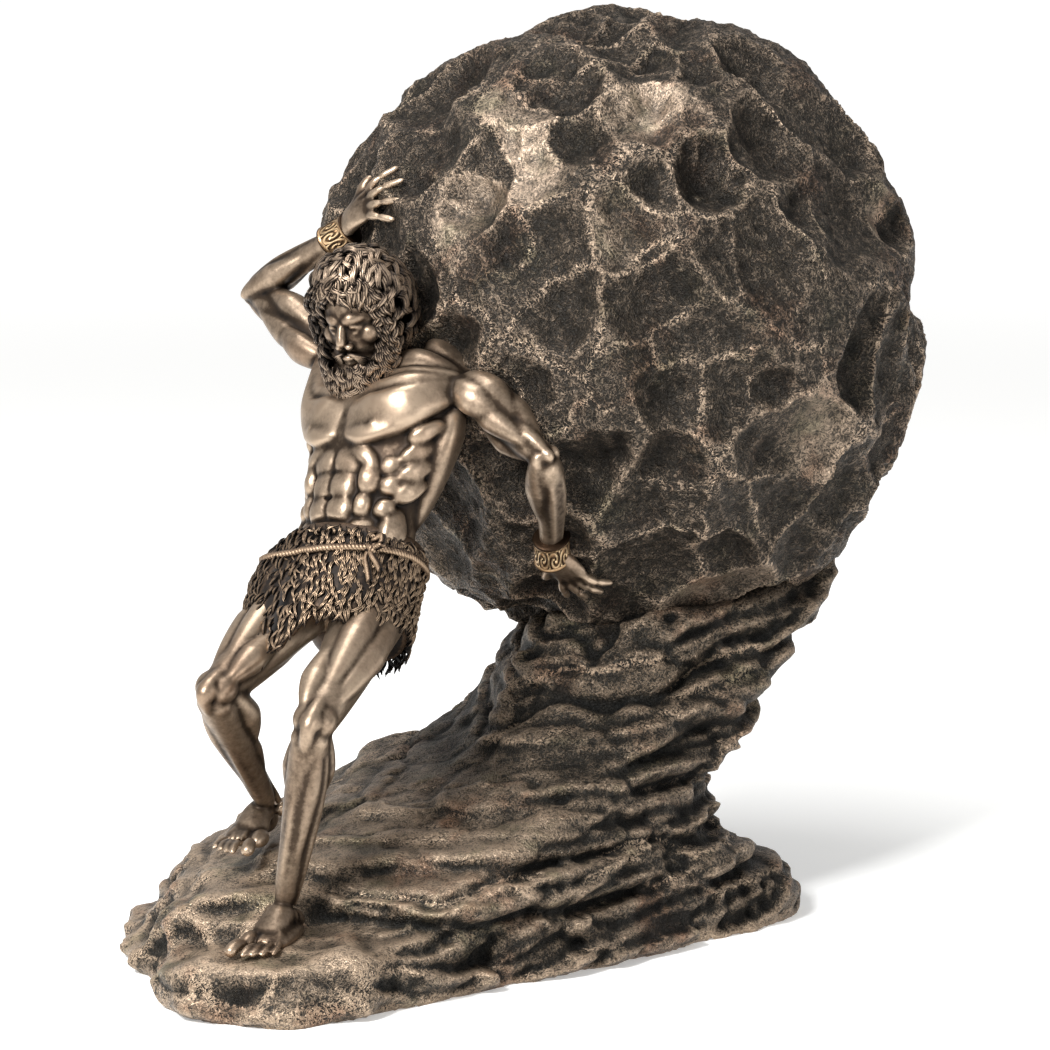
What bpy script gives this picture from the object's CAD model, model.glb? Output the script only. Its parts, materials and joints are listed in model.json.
import json
import bpy
import bmesh
import mathutils
import numpy as np
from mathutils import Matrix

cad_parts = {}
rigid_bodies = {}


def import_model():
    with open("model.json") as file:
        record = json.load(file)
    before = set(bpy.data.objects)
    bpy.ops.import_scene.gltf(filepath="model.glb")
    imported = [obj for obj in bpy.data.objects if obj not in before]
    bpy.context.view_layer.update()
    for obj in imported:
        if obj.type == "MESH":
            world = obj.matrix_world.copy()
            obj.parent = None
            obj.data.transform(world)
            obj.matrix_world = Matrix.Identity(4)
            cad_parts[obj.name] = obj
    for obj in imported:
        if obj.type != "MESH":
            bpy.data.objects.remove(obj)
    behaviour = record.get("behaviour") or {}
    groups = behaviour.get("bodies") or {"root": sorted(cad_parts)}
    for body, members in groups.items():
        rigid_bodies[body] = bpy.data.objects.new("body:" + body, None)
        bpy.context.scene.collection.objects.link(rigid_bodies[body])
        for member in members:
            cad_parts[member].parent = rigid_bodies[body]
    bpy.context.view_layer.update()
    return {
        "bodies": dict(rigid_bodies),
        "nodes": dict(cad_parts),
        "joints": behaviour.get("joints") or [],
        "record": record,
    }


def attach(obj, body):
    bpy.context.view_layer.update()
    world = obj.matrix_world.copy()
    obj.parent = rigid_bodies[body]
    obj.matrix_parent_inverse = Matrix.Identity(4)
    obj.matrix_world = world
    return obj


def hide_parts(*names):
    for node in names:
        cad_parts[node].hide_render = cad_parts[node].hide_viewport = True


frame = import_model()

mm = 0.001

# Pose of the figure, in hundredths of its height from the pelvis
pose = {
    "height": 234.0, "footPlace": (-111.3, -41.6, 15.0),
    "chestFacing": (-0.996, -0.087, 0.0), "faceFacing": (-0.88, -0.34, -0.33),
    "pelvis": (0.0, 0.0, 0.0), "hipL": (0.5, -5.4, 0.0), "hipR": (-0.5, 5.4, 0.0),
    "kneeL": (-17.7, -15.5, -12.3), "kneeR": (-21.5, -1.2, -10.1),
    "ankleL": (-18.1, -9.8, -35.6), "ankleR": (-7.2, 7.0, -27.6),
    "toesL": (-26.7, -14.7, -38.5), "toesR": (-17.1, 1.3, -30.8),
    "heelL": (-15.2, -8.9, -38.5), "heelR": (-5.3, 10.0, -30.8),
    "neck": (12.4, 5.1, 25.9),
    "shoulderL": (13.3, -6.4, 23.2), "shoulderR": (10.9, 17.6, 25.5),
    "elbowL": (16.2, -17.1, 15.7), "elbowR": (10.5, 33.5, 32.3),
    "wristL": (23.2, -9.8, 3.2), "wristR": (15.0, 20.6, 40.2),
    "handL": (27.0, -8.8, 1.6), "handR": (18.4, 15.0, 41.6),
    "head": (5.6, 5.4, 32.2),
}
boulderSizes = {
    "radius": 85.4, "tall": 1.06, "place": (53.8, 0.0, 168.9),
    "scoopWidth": 21.0, "scoopCrowd": 1.15, "scoopSpread": 0.1, "scoopLevel": (-2.2, 2.0),
    "scoopCurve": (0.012, 0.05), "scoopGain": 1.5, "scoopMost": 4.6, "sink": 3.2, "planed": 0.07,
    "chips": 900, "chipMost": 1.2,
    "cells": 127, "snap": 0.5, "swellToward": (-0.70, 0.52, 0.49), "swell": 7.5, "swellWidth": 32.0,
}
rockSizes = {
    "left": -139.0, "right": 77.0, "front": -73.5, "back": 53.0, "plinth": 13.0, "shoulder": 49.0,
    "tip": (100.5, -49.0, 112.0), "stratum": 6.2, "ledge": 2.6, "voxel": 1.05,
}
h = pose["height"] / 100.0
forms = {}


def unit(v):
    v = np.asarray(v, float)
    return v / np.linalg.norm(v)


def joint(name):
    foot = np.array(pose["ankleL"]) + (-3.4, -1.9, -2.9)
    pelvis = np.array(pose["footPlace"]) - foot * h
    return pelvis + np.array(pose[name]) * h


class Bone:
    # A limb's own frame: t runs along it, s sideways and f forward

    def __init__(self, start, end, front, side):
        self.start = np.asarray(start, float)
        self.run = np.asarray(end, float) - self.start
        self.length = np.linalg.norm(self.run) / h
        self.axis = unit(self.run)
        front = np.asarray(front, float)
        self.front = unit(front - front @ self.axis * self.axis)
        self.side = unit(np.cross(self.axis, self.front))
        if self.side @ np.asarray(side, float) < 0:
            self.side = -self.side

    def at(self, t, s=0.0, f=0.0):
        return self.start + t * self.run + h * (s * self.side + f * self.front)

    def aim(self, s, f):
        return unit(s * self.side + f * self.front)


def along(points, t):  # a smooth curve through the points
    points = np.asarray(points, float)
    if len(points) == 2:
        return points[0] + t[:, None] * (points[1] - points[0])
    knots = np.linspace(0.0, 1.0, len(points))
    slopes = np.gradient(points, knots, axis=0)
    cell = np.clip((t * (len(points) - 1)).astype(int), 0, len(points) - 2)
    span = knots[1]
    x = (t / span - cell)[:, None]
    a, b = points[cell], points[cell + 1]
    da, db = slopes[cell] * span, slopes[cell + 1] * span
    return (a * (1 + 2 * x) * (1 - x) ** 2 + b * x * x * (3 - 2 * x)
            + da * x * (1 - x) ** 2 - db * x * x * (1 - x))


def form(kind, *counts):  # a primitive's points and faces, made once and then copied
    key = (kind,) + counts
    if key not in forms:
        mesh = bmesh.new()
        if kind == "sphere":
            bmesh.ops.create_uvsphere(mesh, u_segments=counts[0], v_segments=counts[1], radius=1.0)
        if kind == "round":
            bmesh.ops.create_icosphere(mesh, subdivisions=counts[0], radius=1.0)
        if kind == "cube":
            bmesh.ops.create_cube(mesh, size=2.0)
            bmesh.ops.subdivide_edges(mesh, edges=mesh.edges[:], cuts=counts[0] - 1, use_grid_fill=True)
        if kind == "block":
            grid = bmesh.ops.create_grid(mesh, x_segments=counts[0], y_segments=counts[1], size=1.0)
            faces = list({face for vert in grid["verts"] for face in vert.link_faces})
            lifted = bmesh.ops.extrude_face_region(mesh, geom=sorted(faces, key=lambda face: face.index))
            for item in lifted["geom"]:
                if isinstance(item, bmesh.types.BMVert):
                    item.co.z = 1.0
        mesh.verts.ensure_lookup_table()
        mesh.verts.index_update()
        points = np.array([v.co for v in mesh.verts])
        faces = [[v.index for v in face.verts] for face in mesh.faces]
        mesh.free()
        forms[key] = (points, faces)
    return forms[key]


class Mass:
    # Closed shapes gathered into one mesh

    def __init__(self):
        self.points = []
        self.faces = []
        self.tones = []
        self.count = 0

    def add(self, points, faces, tone=None):
        self.faces += [[corner + self.count for corner in face] for face in faces]
        self.points.append(points)
        self.tones.append(np.full(len(points), 0.2) if tone is None else tone)
        self.count += len(points)

    def asObject(self, name):
        data = bpy.data.meshes.new(name)
        data.from_pydata(np.concatenate(self.points) * mm, [], self.faces)
        piece = bpy.data.objects.new(name, data)
        bpy.context.scene.collection.objects.link(piece)
        return piece


def spindle(mass, points, wide, deep, facing, blunt=3.0, sides=24, rings=20, square=1.0):
    # A muscle belly, limb or lock: a sphere drawn out along a curve
    ball, faces = form("sphere", sides, rings)
    t = np.arccos(np.clip(ball[:, 2], -1, 1)) / np.pi
    turn = np.arctan2(ball[:, 1], ball[:, 0])
    swell = np.sqrt(np.clip(1 - np.abs(2 * t - 1) ** blunt, 0, 1))
    centre = along(points, t)
    ahead = along(points, np.clip(t + 0.02, 0, 1)) - along(points, np.clip(t - 0.02, 0, 1))
    ahead /= np.linalg.norm(ahead, axis=1)[:, None]
    facing = np.broadcast_to(np.asarray(facing, float), centre.shape)
    out = facing - np.sum(facing * ahead, axis=1)[:, None] * ahead
    out /= np.linalg.norm(out, axis=1)[:, None]
    across = np.cross(ahead, out)
    w = np.interp(t, np.linspace(0, 1, len(wide)), wide) * swell * h
    d = np.interp(t, np.linspace(0, 1, len(deep)), deep) * swell * h
    ring = np.stack((np.cos(turn), np.sin(turn)), axis=1)
    a, b = (np.sign(ring) * np.abs(ring) ** square).T
    rubbed = 0.04 + 0.84 * (0.5 + 0.5 * np.sin(turn)) ** 2.6 * (0.35 + 0.65 * np.sin(np.pi * t))
    mass.add(centre + across * (a * w)[:, None] + out * (b * d)[:, None], faces, rubbed)


def ball(mass, centre, radii, frame):
    points, faces = form("round", 3)
    mass.add(np.asarray(centre) + (points * np.array(radii) * h) @ np.array(frame), faces)


def pads(mass, limb, rows):
    for line, wide, deep, facing, blunt in rows:
        spindle(mass, [limb.at(*spot) for spot in line], wide, deep, limb.aim(*facing), blunt)


# Muscles of a limb: centre line (t, s, f), widths, depths, the way it faces (s, f), how blunt its ends are
thighPads = [
    # core, the four heads in front, the inner group and the two behind
    ([(-0.12, 0, 0), (0.5, 0, -0.2), (1.02, 0, 0)],
     (4.4, 4.3, 3.6, 2.7, 2.3), (4.6, 4.3, 3.6, 2.8, 2.3), (0, 1), 8),
    ([(0.0, 0.6, 2.2), (0.45, 0.5, 2.6), (0.86, 0.1, 1.9)], (1.4, 2.0, 1.0), (1.3, 1.9, 0.7), (0, 1), 3),
    ([(0.06, 2.7, 0.6), (0.5, 2.5, 1.0), (0.9, 1.5, 1.2)], (1.3, 2.1, 0.9), (1.4, 1.9, 0.8), (1, 0.5), 3),
    ([(0.42, -1.8, 1.3), (0.75, -1.9, 1.5), (0.98, -1.4, 1.2)],
     (1.0, 1.8, 0.8), (1.0, 1.7, 0.8), (-1, 0.8), 3),
    ([(-0.05, -2.2, -0.4), (0.3, -2.3, -0.8), (0.75, -1.6, -0.8)],
     (2.0, 2.2, 0.8), (2.0, 2.0, 0.8), (-1, -0.3), 3),
    ([(0.05, 1.2, -2.2), (0.5, 1.3, -2.2), (1.03, 1.6, -1.6)],
     (1.8, 1.7, 0.5), (1.7, 1.6, 0.5), (0.4, -1), 3),
    ([(0.05, -0.8, -2.4), (0.5, -1.0, -2.3), (1.05, -1.6, -1.5)],
     (1.7, 1.7, 0.5), (1.6, 1.6, 0.5), (-0.4, -1), 3),
]
shankPads = [
    # core with the shin's edge, the outer muscles, the calf's heads and the long tendon
    ([(-0.04, 0, 0), (0.35, 0, -0.1), (1.0, 0, 0)],
     (2.3, 2.3, 2.1, 1.6, 1.35), (2.3, 2.3, 2.1, 1.7, 1.4), (0, 1), 8),
    ([(0.1, -0.4, 1.1), (0.5, -0.3, 1.0), (0.95, -0.3, 0.6)], (0.7, 0.7, 0.6), (1.0, 1.0, 0.8), (0, 1), 3),
    ([(0.06, 1.3, 0.9), (0.32, 1.3, 1.0), (0.8, 0.6, 0.8)], (0.8, 1.1, 0.5), (0.8, 1.1, 0.5), (0.7, 1), 3),
    ([(0.08, 1.9, -0.1), (0.4, 1.9, -0.2), (0.97, 1.3, -0.5)], (0.8, 1.0, 0.4), (0.8, 0.9, 0.4), (1, 0), 3),
    ([(0.0, -1.1, -1.2), (0.25, -1.4, -2.1), (0.5, -0.8, -1.6)],
     (1.2, 2.0, 0.9), (1.1, 1.8, 0.7), (-0.5, -1), 3),
    ([(0.0, 1.1, -1.2), (0.23, 1.3, -1.9), (0.46, 0.8, -1.4)],
     (1.1, 1.8, 0.9), (1.1, 1.6, 0.7), (0.5, -1), 3),
    ([(0.25, 0, -1.1), (0.52, 0, -1.3), (0.8, 0, -1.0)], (1.8, 1.9, 0.8), (1.2, 1.3, 0.7), (0, -1), 3),
    ([(0.6, 0, -1.4), (0.85, 0, -1.6), (1.08, 0, -1.9)], (0.7, 0.55, 0.7), (0.6, 0.5, 0.6), (0, -1), 3),
]


def leg(mass, side):
    out = unit(joint("hipL") - joint("hipR"))
    if side == "R":
        out = -out
    hip, knee, ankle = joint("hip" + side), joint("knee" + side), joint("ankle" + side)
    ahead = knee - (hip + ankle) / 2
    thigh = Bone(hip, knee, ahead, out)
    shank = Bone(knee, ankle, ahead, out)
    pads(mass, thigh, thighPads)
    pads(mass, shank, shankPads)

    # Knee: cap, the two knuckles of the thigh bone and the tendon below
    bend = unit(thigh.front + shank.front)
    f, s = thigh.front, thigh.side
    cap = knee + bend * 1.75 * h - thigh.axis * 0.3 * h
    ball(mass, cap, (1.35, 0.8, 1.5), (s, bend, np.cross(s, bend)))
    ball(mass, thigh.at(0.96, 0.95, 0.3), (1.6, 1.75, 2.1), (s, f, thigh.axis))
    ball(mass, thigh.at(0.96, -1.0, 0.3), (1.65, 1.75, 2.1), (s, f, thigh.axis))
    ball(mass, shank.at(0.06, 0, 0.4), (2.3, 1.7, 1.6), (s, shank.front, shank.axis))
    tendon = [thigh.at(0.8, 0, 1.7), knee + bend * 1.9 * h, shank.at(0.18, 0, 1.5)]
    spindle(mass, tendon, (0.8, 1.0, 0.7), (0.7, 0.8, 0.6), bend)
    foot(mass, side, out)


def legs(mass):
    for side in "LR":
        leg(mass, side)


def foot(mass, side, out):
    heel, toes = joint("heel" + side), joint("toes" + side)
    ankle = joint("ankle" + side)
    sole = Bone(heel, toes, (0, 0, 1), out)
    up, s, run = sole.front, sole.side, sole.axis
    reach = sole.length

    def on(a, b, c):
        return heel + h * (a * run + b * s + c * up)

    ball(mass, on(1.4, 0, 1.7), (2.2, 1.6, 1.8), (run, s, up))
    ball(mass, ankle + s * 1.35 * h, (0.9, 0.75, 1.0), (run, s, up))
    ball(mass, ankle - s * 1.45 * h + up * 0.3 * h, (0.95, 0.75, 1.05), (run, s, up))
    spindle(mass, [ankle + up * 0.8 * h, on(reach * 0.36, -0.2, 3.0), on(reach * 0.62, -0.4, 1.5)],
            (1.6, 1.9, 2.3), (1.6, 1.5, 0.9), up, 5)
    spindle(mass, [on(0.9, 0.2, 1.2), on(reach * 0.42, 0.7, 1.3), on(reach * 0.75, 0.3, 0.9)],
            (1.6, 2.0, 2.6), (1.3, 1.3, 0.9), up, 5)
    spindle(mass, [on(reach * 0.5, -1.7, 1.1), on(reach * 0.66, -1.9, 1.2), on(reach * 0.8, -1.8, 1.0)],
            (0.9, 1.1, 0.8), (0.9, 1.1, 0.8), up)
    for digit in range(5):
        width = 0.86 if digit == 0 else 0.52 - 0.03 * digit
        b = -1.9 + (0 if digit == 0 else 0.75 + 0.93 * digit)
        tip = reach + (1.0, 1.1, 0.55, -0.1, -0.9)[digit]
        knuckle = on(tip - 3.6, b * 0.8, 1.35)
        crook = on(tip - 1.7, b, 1.35 - 0.05 * digit)
        spindle(mass, [knuckle, crook, on(tip, b * 1.05, 0.62)], (width * 0.8, width, width * 1.05),
                (width * 0.8, width * 0.95, width * 0.9), up, 5)
        if digit > 0:
            spindle(mass, [on(reach * 0.4, b * 0.35, 2.7), on(reach * 0.58, b * 0.6, 2.0), knuckle],
                    (0.25, 0.3, 0.35), (0.3, 0.35, 0.35), up)


def armBones(side):
    shoulder, elbow, wrist = joint("shoulder" + side), joint("elbow" + side), joint("wrist" + side)
    flexor = (shoulder + wrist) / 2 - elbow
    across = np.cross(flexor, elbow - shoulder)
    return Bone(shoulder, elbow, flexor, across), Bone(elbow, wrist, flexor, across)


upperArmPads = [
    # core, biceps with its tendon, the triceps' heads
    ([(-0.1, 0, 0), (0.5, 0, 0), (1.0, 0, 0)], (2.3, 2.1, 1.9, 1.7), (2.3, 2.1, 1.9, 1.6), (0, 1), 8),
    ([(0.1, 0.2, 1.0), (0.55, 0.3, 1.8), (0.98, 0, 0.8)], (1.3, 2.2, 0.8), (1.2, 1.8, 0.6), (0, 1), 3),
    ([(0.05, 1.0, -0.9), (0.42, 1.5, -1.3), (0.86, 0.7, -1.1)],
     (1.3, 1.8, 0.7), (1.2, 1.6, 0.6), (0.7, -1), 3),
    ([(0.05, -1.0, -0.9), (0.46, -1.5, -1.3), (0.88, -0.7, -1.0)],
     (1.3, 1.8, 0.7), (1.2, 1.6, 0.6), (-0.7, -1), 3),
    ([(0.45, 0, -1.4), (0.75, 0, -1.7), (1.02, 0, -1.3)], (0.9, 0.9, 0.7), (0.8, 0.6, 0.6), (0, -1), 3),
]
forearmPads = [
    # core, the two fleshy masses
    ([(-0.03, 0, 0), (0.4, 0, 0), (1.08, 0, 0)],
     (1.8, 2.0, 1.8, 1.6, 1.6), (1.8, 1.9, 1.6, 1.35, 1.3), (0, 1), 8),
    ([(-0.1, 1.1, 0.4), (0.28, 1.3, 0.6), (0.75, 0.8, 0.3)], (1.1, 1.7, 0.5), (1.1, 1.5, 0.5), (1, 0.4), 3),
    ([(-0.03, -1.0, 0.2), (0.3, -1.1, 0.4), (0.8, -0.6, 0.2)],
     (1.1, 1.6, 0.5), (1.1, 1.4, 0.5), (-1, 0.4), 3),
]
# Shoulder muscle: centre line (t, outwards, towards the chest), widths, depths, how far it faces the chest
shoulderPads = [
    ([(-0.16, 1.0, 0.0), (0.14, 2.3, 0.0), (0.58, 1.7, 0.1)], (1.7, 2.3, 0.9), (1.5, 1.9, 0.9), 0),
    ([(-0.14, 0.2, 1.6), (0.14, 1.3, 2.3), (0.56, 1.3, 1.0)], (1.6, 2.1, 0.9), (1.4, 1.7, 0.8), 1),
    ([(-0.12, 0.2, -1.6), (0.14, 1.2, -2.2), (0.55, 1.2, -1.0)], (1.6, 2.1, 0.9), (1.3, 1.6, 0.8), -1),
    ([(-0.18, 0.9, 1.0), (0.1, 2.1, 1.5), (0.5, 1.8, 0.8)], (0.7, 1.0, 0.5), (0.6, 1.0, 0.5), 0.5),
]
tendonShares = (-0.8, -0.05, 0.7)
forearmVeins = [
    [(0.1, 0.6, 1.9), (0.45, -0.3, 1.75), (0.85, 0.6, 1.4)],
    [(0.5, -0.2, 1.8), (0.7, -0.9, 1.4), (0.98, -0.6, 1.25)],
]
upperVein = [(0.15, 1.5, 1.9), (0.5, 0.9, 3.0), (0.95, 0.5, 1.6)]


def arm(mass, side):
    upper, lower = armBones(side)
    f, s = upper.front, upper.side
    pads(mass, upper, upperArmPads)

    # The shoulder muscle runs from the shoulder's top down to the arm's outer side
    away = unit(unit(joint("shoulder" + side) - joint("neck")) + (0, 0, 0.25) - 0.25 * upper.axis)
    away = unit(away - 0.6 * (away @ upper.axis) * upper.axis)
    chest = unit(pose["chestFacing"])
    chest = unit(chest - chest @ upper.axis * upper.axis - 0.5 * (chest @ away) * away)
    for line, wide, deep, share in shoulderPads:
        spots = [upper.at(t) + h * (a * away + c * chest) for t, a, c in line]
        spindle(mass, spots, wide, deep, away + chest * share)

    # The elbow's bones
    ball(mass, upper.at(1.0, 0, -1.0), (0.8, 0.85, 1.0), (s, f, upper.axis))
    ball(mass, upper.at(0.97, 1.45, 0), (0.7, 0.8, 0.9), (s, f, upper.axis))
    ball(mass, upper.at(0.97, -1.5, 0), (0.7, 0.8, 0.9), (s, f, upper.axis))

    pads(mass, lower, forearmPads)
    for share in tendonShares:
        line = [(0.02, share, -1.1), (0.35, share * 1.1, -1.5), (0.95, share * 0.8, -1.1)]
        pads(mass, lower, [(line, (0.5, 0.6, 0.3), (0.5, 0.55, 0.3), (share, -1), 3)])
    for line in forearmVeins:
        spindle(mass, [lower.at(*spot) for spot in line],
                (0.24, 0.24, 0.2), (0.26, 0.26, 0.2), lower.front, 4, 10, 16)
    spots = [upper.at(*spot) for spot in upperVein]
    spindle(mass, spots, (0.2, 0.24, 0.22), (0.25, 0.26, 0.22), upper.front, 4, 10, 16)
    hand(mass, side, lower)


def arms(mass):
    for side in "LR":
        arm(mass, side)


def boulderCentre():
    return np.array(boulderSizes["place"])


# Each finger's length, its place across the palm and how far it is turned outwards
fingers = [(4.1, 1.7, 0.4), (4.6, 0.58, 0.12), (4.3, -0.6, -0.18), (3.5, -1.7, -0.52)]


def hand(mass, side, lower):
    # The palm and fingers lie on the boulder, so they are bent round its surface
    centre = boulderCentre()
    root = joint("hand" + side)
    out = unit(root - centre)
    ahead = root - joint("wrist" + side)
    ahead = unit(ahead - ahead @ out * out)
    across = np.cross(ahead, out)
    if side == "R":
        across = -across

    stretch = np.array((1.0, 1.0, boulderSizes["tall"]))

    def on(a, b, c):
        ray = unit((root + h * (a * ahead + b * across) - centre) / stretch)
        return centre + ray * (boulderSizes["radius"] + boulderSwell(ray) + c * h) * stretch

    wrist = joint("wrist" + side)
    spindle(mass, [wrist - lower.axis * 0.4 * h, on(-1.4, 0, 1.3), on(1.9, 0, 0.95)],
            (1.5, 2.2, 2.5), (1.1, 1.15, 0.85), out, 5)
    spindle(mass, [on(-2.0, 1.2, 1.1), on(-0.3, 1.9, 0.9), on(1.2, 2.1, 0.7)],
            (0.9, 1.0, 0.7), (0.8, 0.8, 0.6), out)
    for digit, (reach, b, turn) in enumerate(fingers):
        a = 1.9 - 0.15 * abs(digit - 1)

        def step(length, rise):
            return on(a + length * np.cos(turn), b + length * np.sin(turn), rise)

        spindle(mass, [step(-0.5, 1.1), step(0.3, 1.5), step(reach * 0.5, 1.35)],
                (0.55, 0.62, 0.6), (0.55, 0.62, 0.6), out, 5, 10, 8)
        spindle(mass, [step(reach * 0.42, 1.4), step(reach * 0.7, 0.95), step(reach + 0.3, 0.5)],
                (0.62, 0.56, 0.48), (0.62, 0.54, 0.44), out, 5, 10, 8)
        spindle(mass, [on(-1.2, b * 0.35, 1.95), on(0.6, b * 0.8, 1.75), step(0.1, 1.5)],
                (0.2, 0.25, 0.3), (0.25, 0.3, 0.3), out, 3, 8, 8)
    spindle(mass, [on(-0.8, 1.8, 1.0), on(0.4, 3.2, 1.0), on(1.5, 4.2, 0.5)],
            (0.9, 0.74, 0.55), (0.85, 0.7, 0.5), out, 5, 10, 8)


def trunkPoint(u, b, c):
    # A place on the trunk: u up from the pelvis, b to his left, c forward; the front is carried forward
    body = trunkBone()
    return body.at(u, b, c + 3.6 * u * (1 - u) + (0.8 if c > 0 else 0.0))


def trunkBone():
    return Bone(joint("pelvis"), joint("neck"), pose["chestFacing"], joint("hipL") - joint("hipR"))


def torso(mass):
    body, neck = trunkBone(), joint("neck")
    f, up = body.front, body.axis
    levels = np.linspace(-0.14, 1.04, 12)
    spine = [trunkPoint(u, 0, -0.1) for u in levels]
    marks = (-0.14, 0, 0.15, 0.3, 0.42, 0.56, 0.7, 0.84, 0.96, 1.04)  # pelvis, waist, ribs, armpits, neck
    wide = np.interp(levels, marks, (6.4, 7.9, 7.8, 7.5, 8.1, 9.4, 10.4, 10.4, 6.6, 3.6))
    deep = np.interp(levels, marks, (4.6, 5.8, 5.8, 5.5, 5.9, 6.5, 6.6, 5.6, 4.2, 3.2))
    spindle(mass, spine, wide, deep, f, 10, 40, 40)
    for side in (-1, 1):
        trunkHalf(mass, body, side)
    head = joint("head")
    spindle(mass, [neck - up * 1.5 * h, neck + 0.5 * (head - neck), head],
            (3.1, 2.9, 3.0), (3.1, 3.0, 3.2), f, 8)


# Trunk muscles as centre lines (u, b, c), widths, depths and how blunt their ends are
trunkPads = [
    # breast muscle: three fans from the breast bone to the arm, and its full lower edge
    ([(0.64, 0.1, 4.4), (0.65, 4.4, 4.4), (0.72, 8.6, 3.3), "arm"],
     (2.9, 3.3, 2.6, 1.4), (1.5, 1.8, 1.8, 1.2), 14),
    ([(0.72, 0.1, 4.0), (0.74, 4.6, 3.7), (0.79, 8.0, 2.9), "arm"],
     (2.4, 2.8, 2.3, 1.3), (1.3, 1.6, 1.7, 1.1), 14),
    ([(0.80, 0.3, 3.3), (0.82, 4.0, 3.0), (0.84, 7.4, 2.5), "armTop"],
     (1.6, 1.9, 1.8, 1.1), (1.0, 1.3, 1.4, 1.0), 10),
    ([(0.592, 0.5, 5.0), (0.572, 3.8, 5.2), (0.615, 7.0, 4.3), (0.70, 9.4, 2.8)],
     (0.9, 1.2, 1.1, 0.8), (0.9, 1.1, 1.0, 0.8), 8),
    # rib arch and the belly's blocks
    ([(0.535, 2.0, 4.7), (0.495, 4.2, 4.5), (0.43, 6.0, 3.7)], (1.0, 1.1, 0.8), (0.8, 0.9, 0.7), 4),
    ([(0.515, 1.75, 4.15), (0.465, 1.95, 4.35), (0.418, 1.8, 4.2)], (1.95, 2.15, 1.9), (1.2, 1.3, 1.2), 14),
    ([(0.412, 1.65, 4.15), (0.36, 1.65, 4.3), (0.312, 1.55, 4.2)], (1.75, 1.85, 1.65), (1.2, 1.3, 1.2), 14),
    ([(0.305, 1.6, 4.1), (0.262, 1.7, 4.3), (0.218, 1.5, 4.15)], (1.75, 1.85, 1.6), (1.15, 1.25, 1.15), 14),
    ([(0.212, 1.4, 4.1), (0.13, 1.5, 4.1), (0.03, 1.3, 3.7)], (1.5, 1.9, 1.4), (1.0, 1.2, 1.0), 6),
    # second column beside them
    ([(0.47, 4.7, 3.6), (0.40, 5.0, 3.7), (0.335, 4.8, 3.6)], (1.1, 1.4, 1.1), (0.9, 1.2, 0.9), 6),
    ([(0.335, 4.3, 3.5), (0.29, 4.6, 3.6), (0.235, 4.4, 3.5)], (0.9, 1.1, 0.9), (0.8, 1.0, 0.8), 6),
    ([(0.23, 4.4, 3.3), (0.17, 4.9, 3.2), (0.08, 5.0, 3.0)], (1.4, 1.8, 1.4), (0.8, 0.9, 0.8), 5),
    # saw-toothed ribs and the oblique bundles between them
    ([(0.455, 5.7, 3.0), (0.465, 6.8, 2.3), (0.50, 8.1, 1.3)], (0.9, 1.2, 0.8), (0.8, 1.0, 0.7), 4),
    ([(0.375, 5.9, 2.7), (0.385, 7.0, 2.0), (0.42, 8.3, 1.0)], (0.9, 1.2, 0.8), (0.8, 1.0, 0.7), 4),
    ([(0.29, 5.8, 2.6), (0.285, 6.7, 2.2), (0.31, 7.8, 1.3)], (0.9, 1.2, 0.9), (0.8, 1.0, 0.7), 4),
    ([(0.485, 7.7, 2.0), (0.54, 8.9, 0.7), (0.61, 9.8, -0.5)], (0.9, 1.3, 0.8), (0.8, 1.0, 0.7), 4),
    ([(0.415, 7.7, 1.7), (0.455, 8.8, 0.5), (0.53, 9.6, -0.7)], (0.9, 1.3, 0.8), (0.8, 1.0, 0.7), 4),
    ([(0.34, 7.3, 1.6), (0.37, 8.4, 0.4), (0.44, 9.3, -0.8)], (0.9, 1.3, 0.8), (0.8, 1.0, 0.7), 4),
    ([(0.575, 8.5, 2.2), (0.62, 9.7, 1.1), (0.69, 10.6, 0.0)], (0.8, 1.1, 0.8), (0.9, 1.1, 0.8), 4),
    ([(0.31, 7.2, 0.4), (0.20, 7.3, 0.7), (0.08, 7.4, 1.0)], (1.5, 1.9, 1.7), (1.1, 1.4, 1.3), 2.5),
    # back: the broad muscle, spinal columns, shoulder blade
    ([(0.82, 10.0, -1.6), (0.64, 9.7, -1.8), (0.46, 8.2, -2.4), (0.26, 5.4, -3.4)],
     (1.9, 2.3, 2.0, 1.4), (1.6, 1.9, 1.5, 1.0), 4),
    ([(0.04, 1.8, -4.9), (0.4, 1.9, -4.4), (0.85, 1.7, -5.0)], (1.6, 1.5, 1.3), (1.3, 1.2, 1.0), 5),
    ([(0.60, 5.2, -4.6), (0.74, 5.8, -4.4), (0.88, 7.4, -2.8)], (1.8, 2.2, 1.4), (1.2, 1.4, 1.1), 4),
    ([(0.66, 2.2, -5.2), (0.78, 4.6, -4.9), (0.90, 7.0, -3.6)], (1.2, 1.5, 1.2), (0.8, 1.0, 0.9), 4),
    ([(0.50, 2.4, -4.9), (0.64, 3.4, -4.9), (0.86, 2.2, -4.9)], (1.0, 1.6, 1.4), (0.7, 0.9, 0.8), 4),
]


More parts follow.
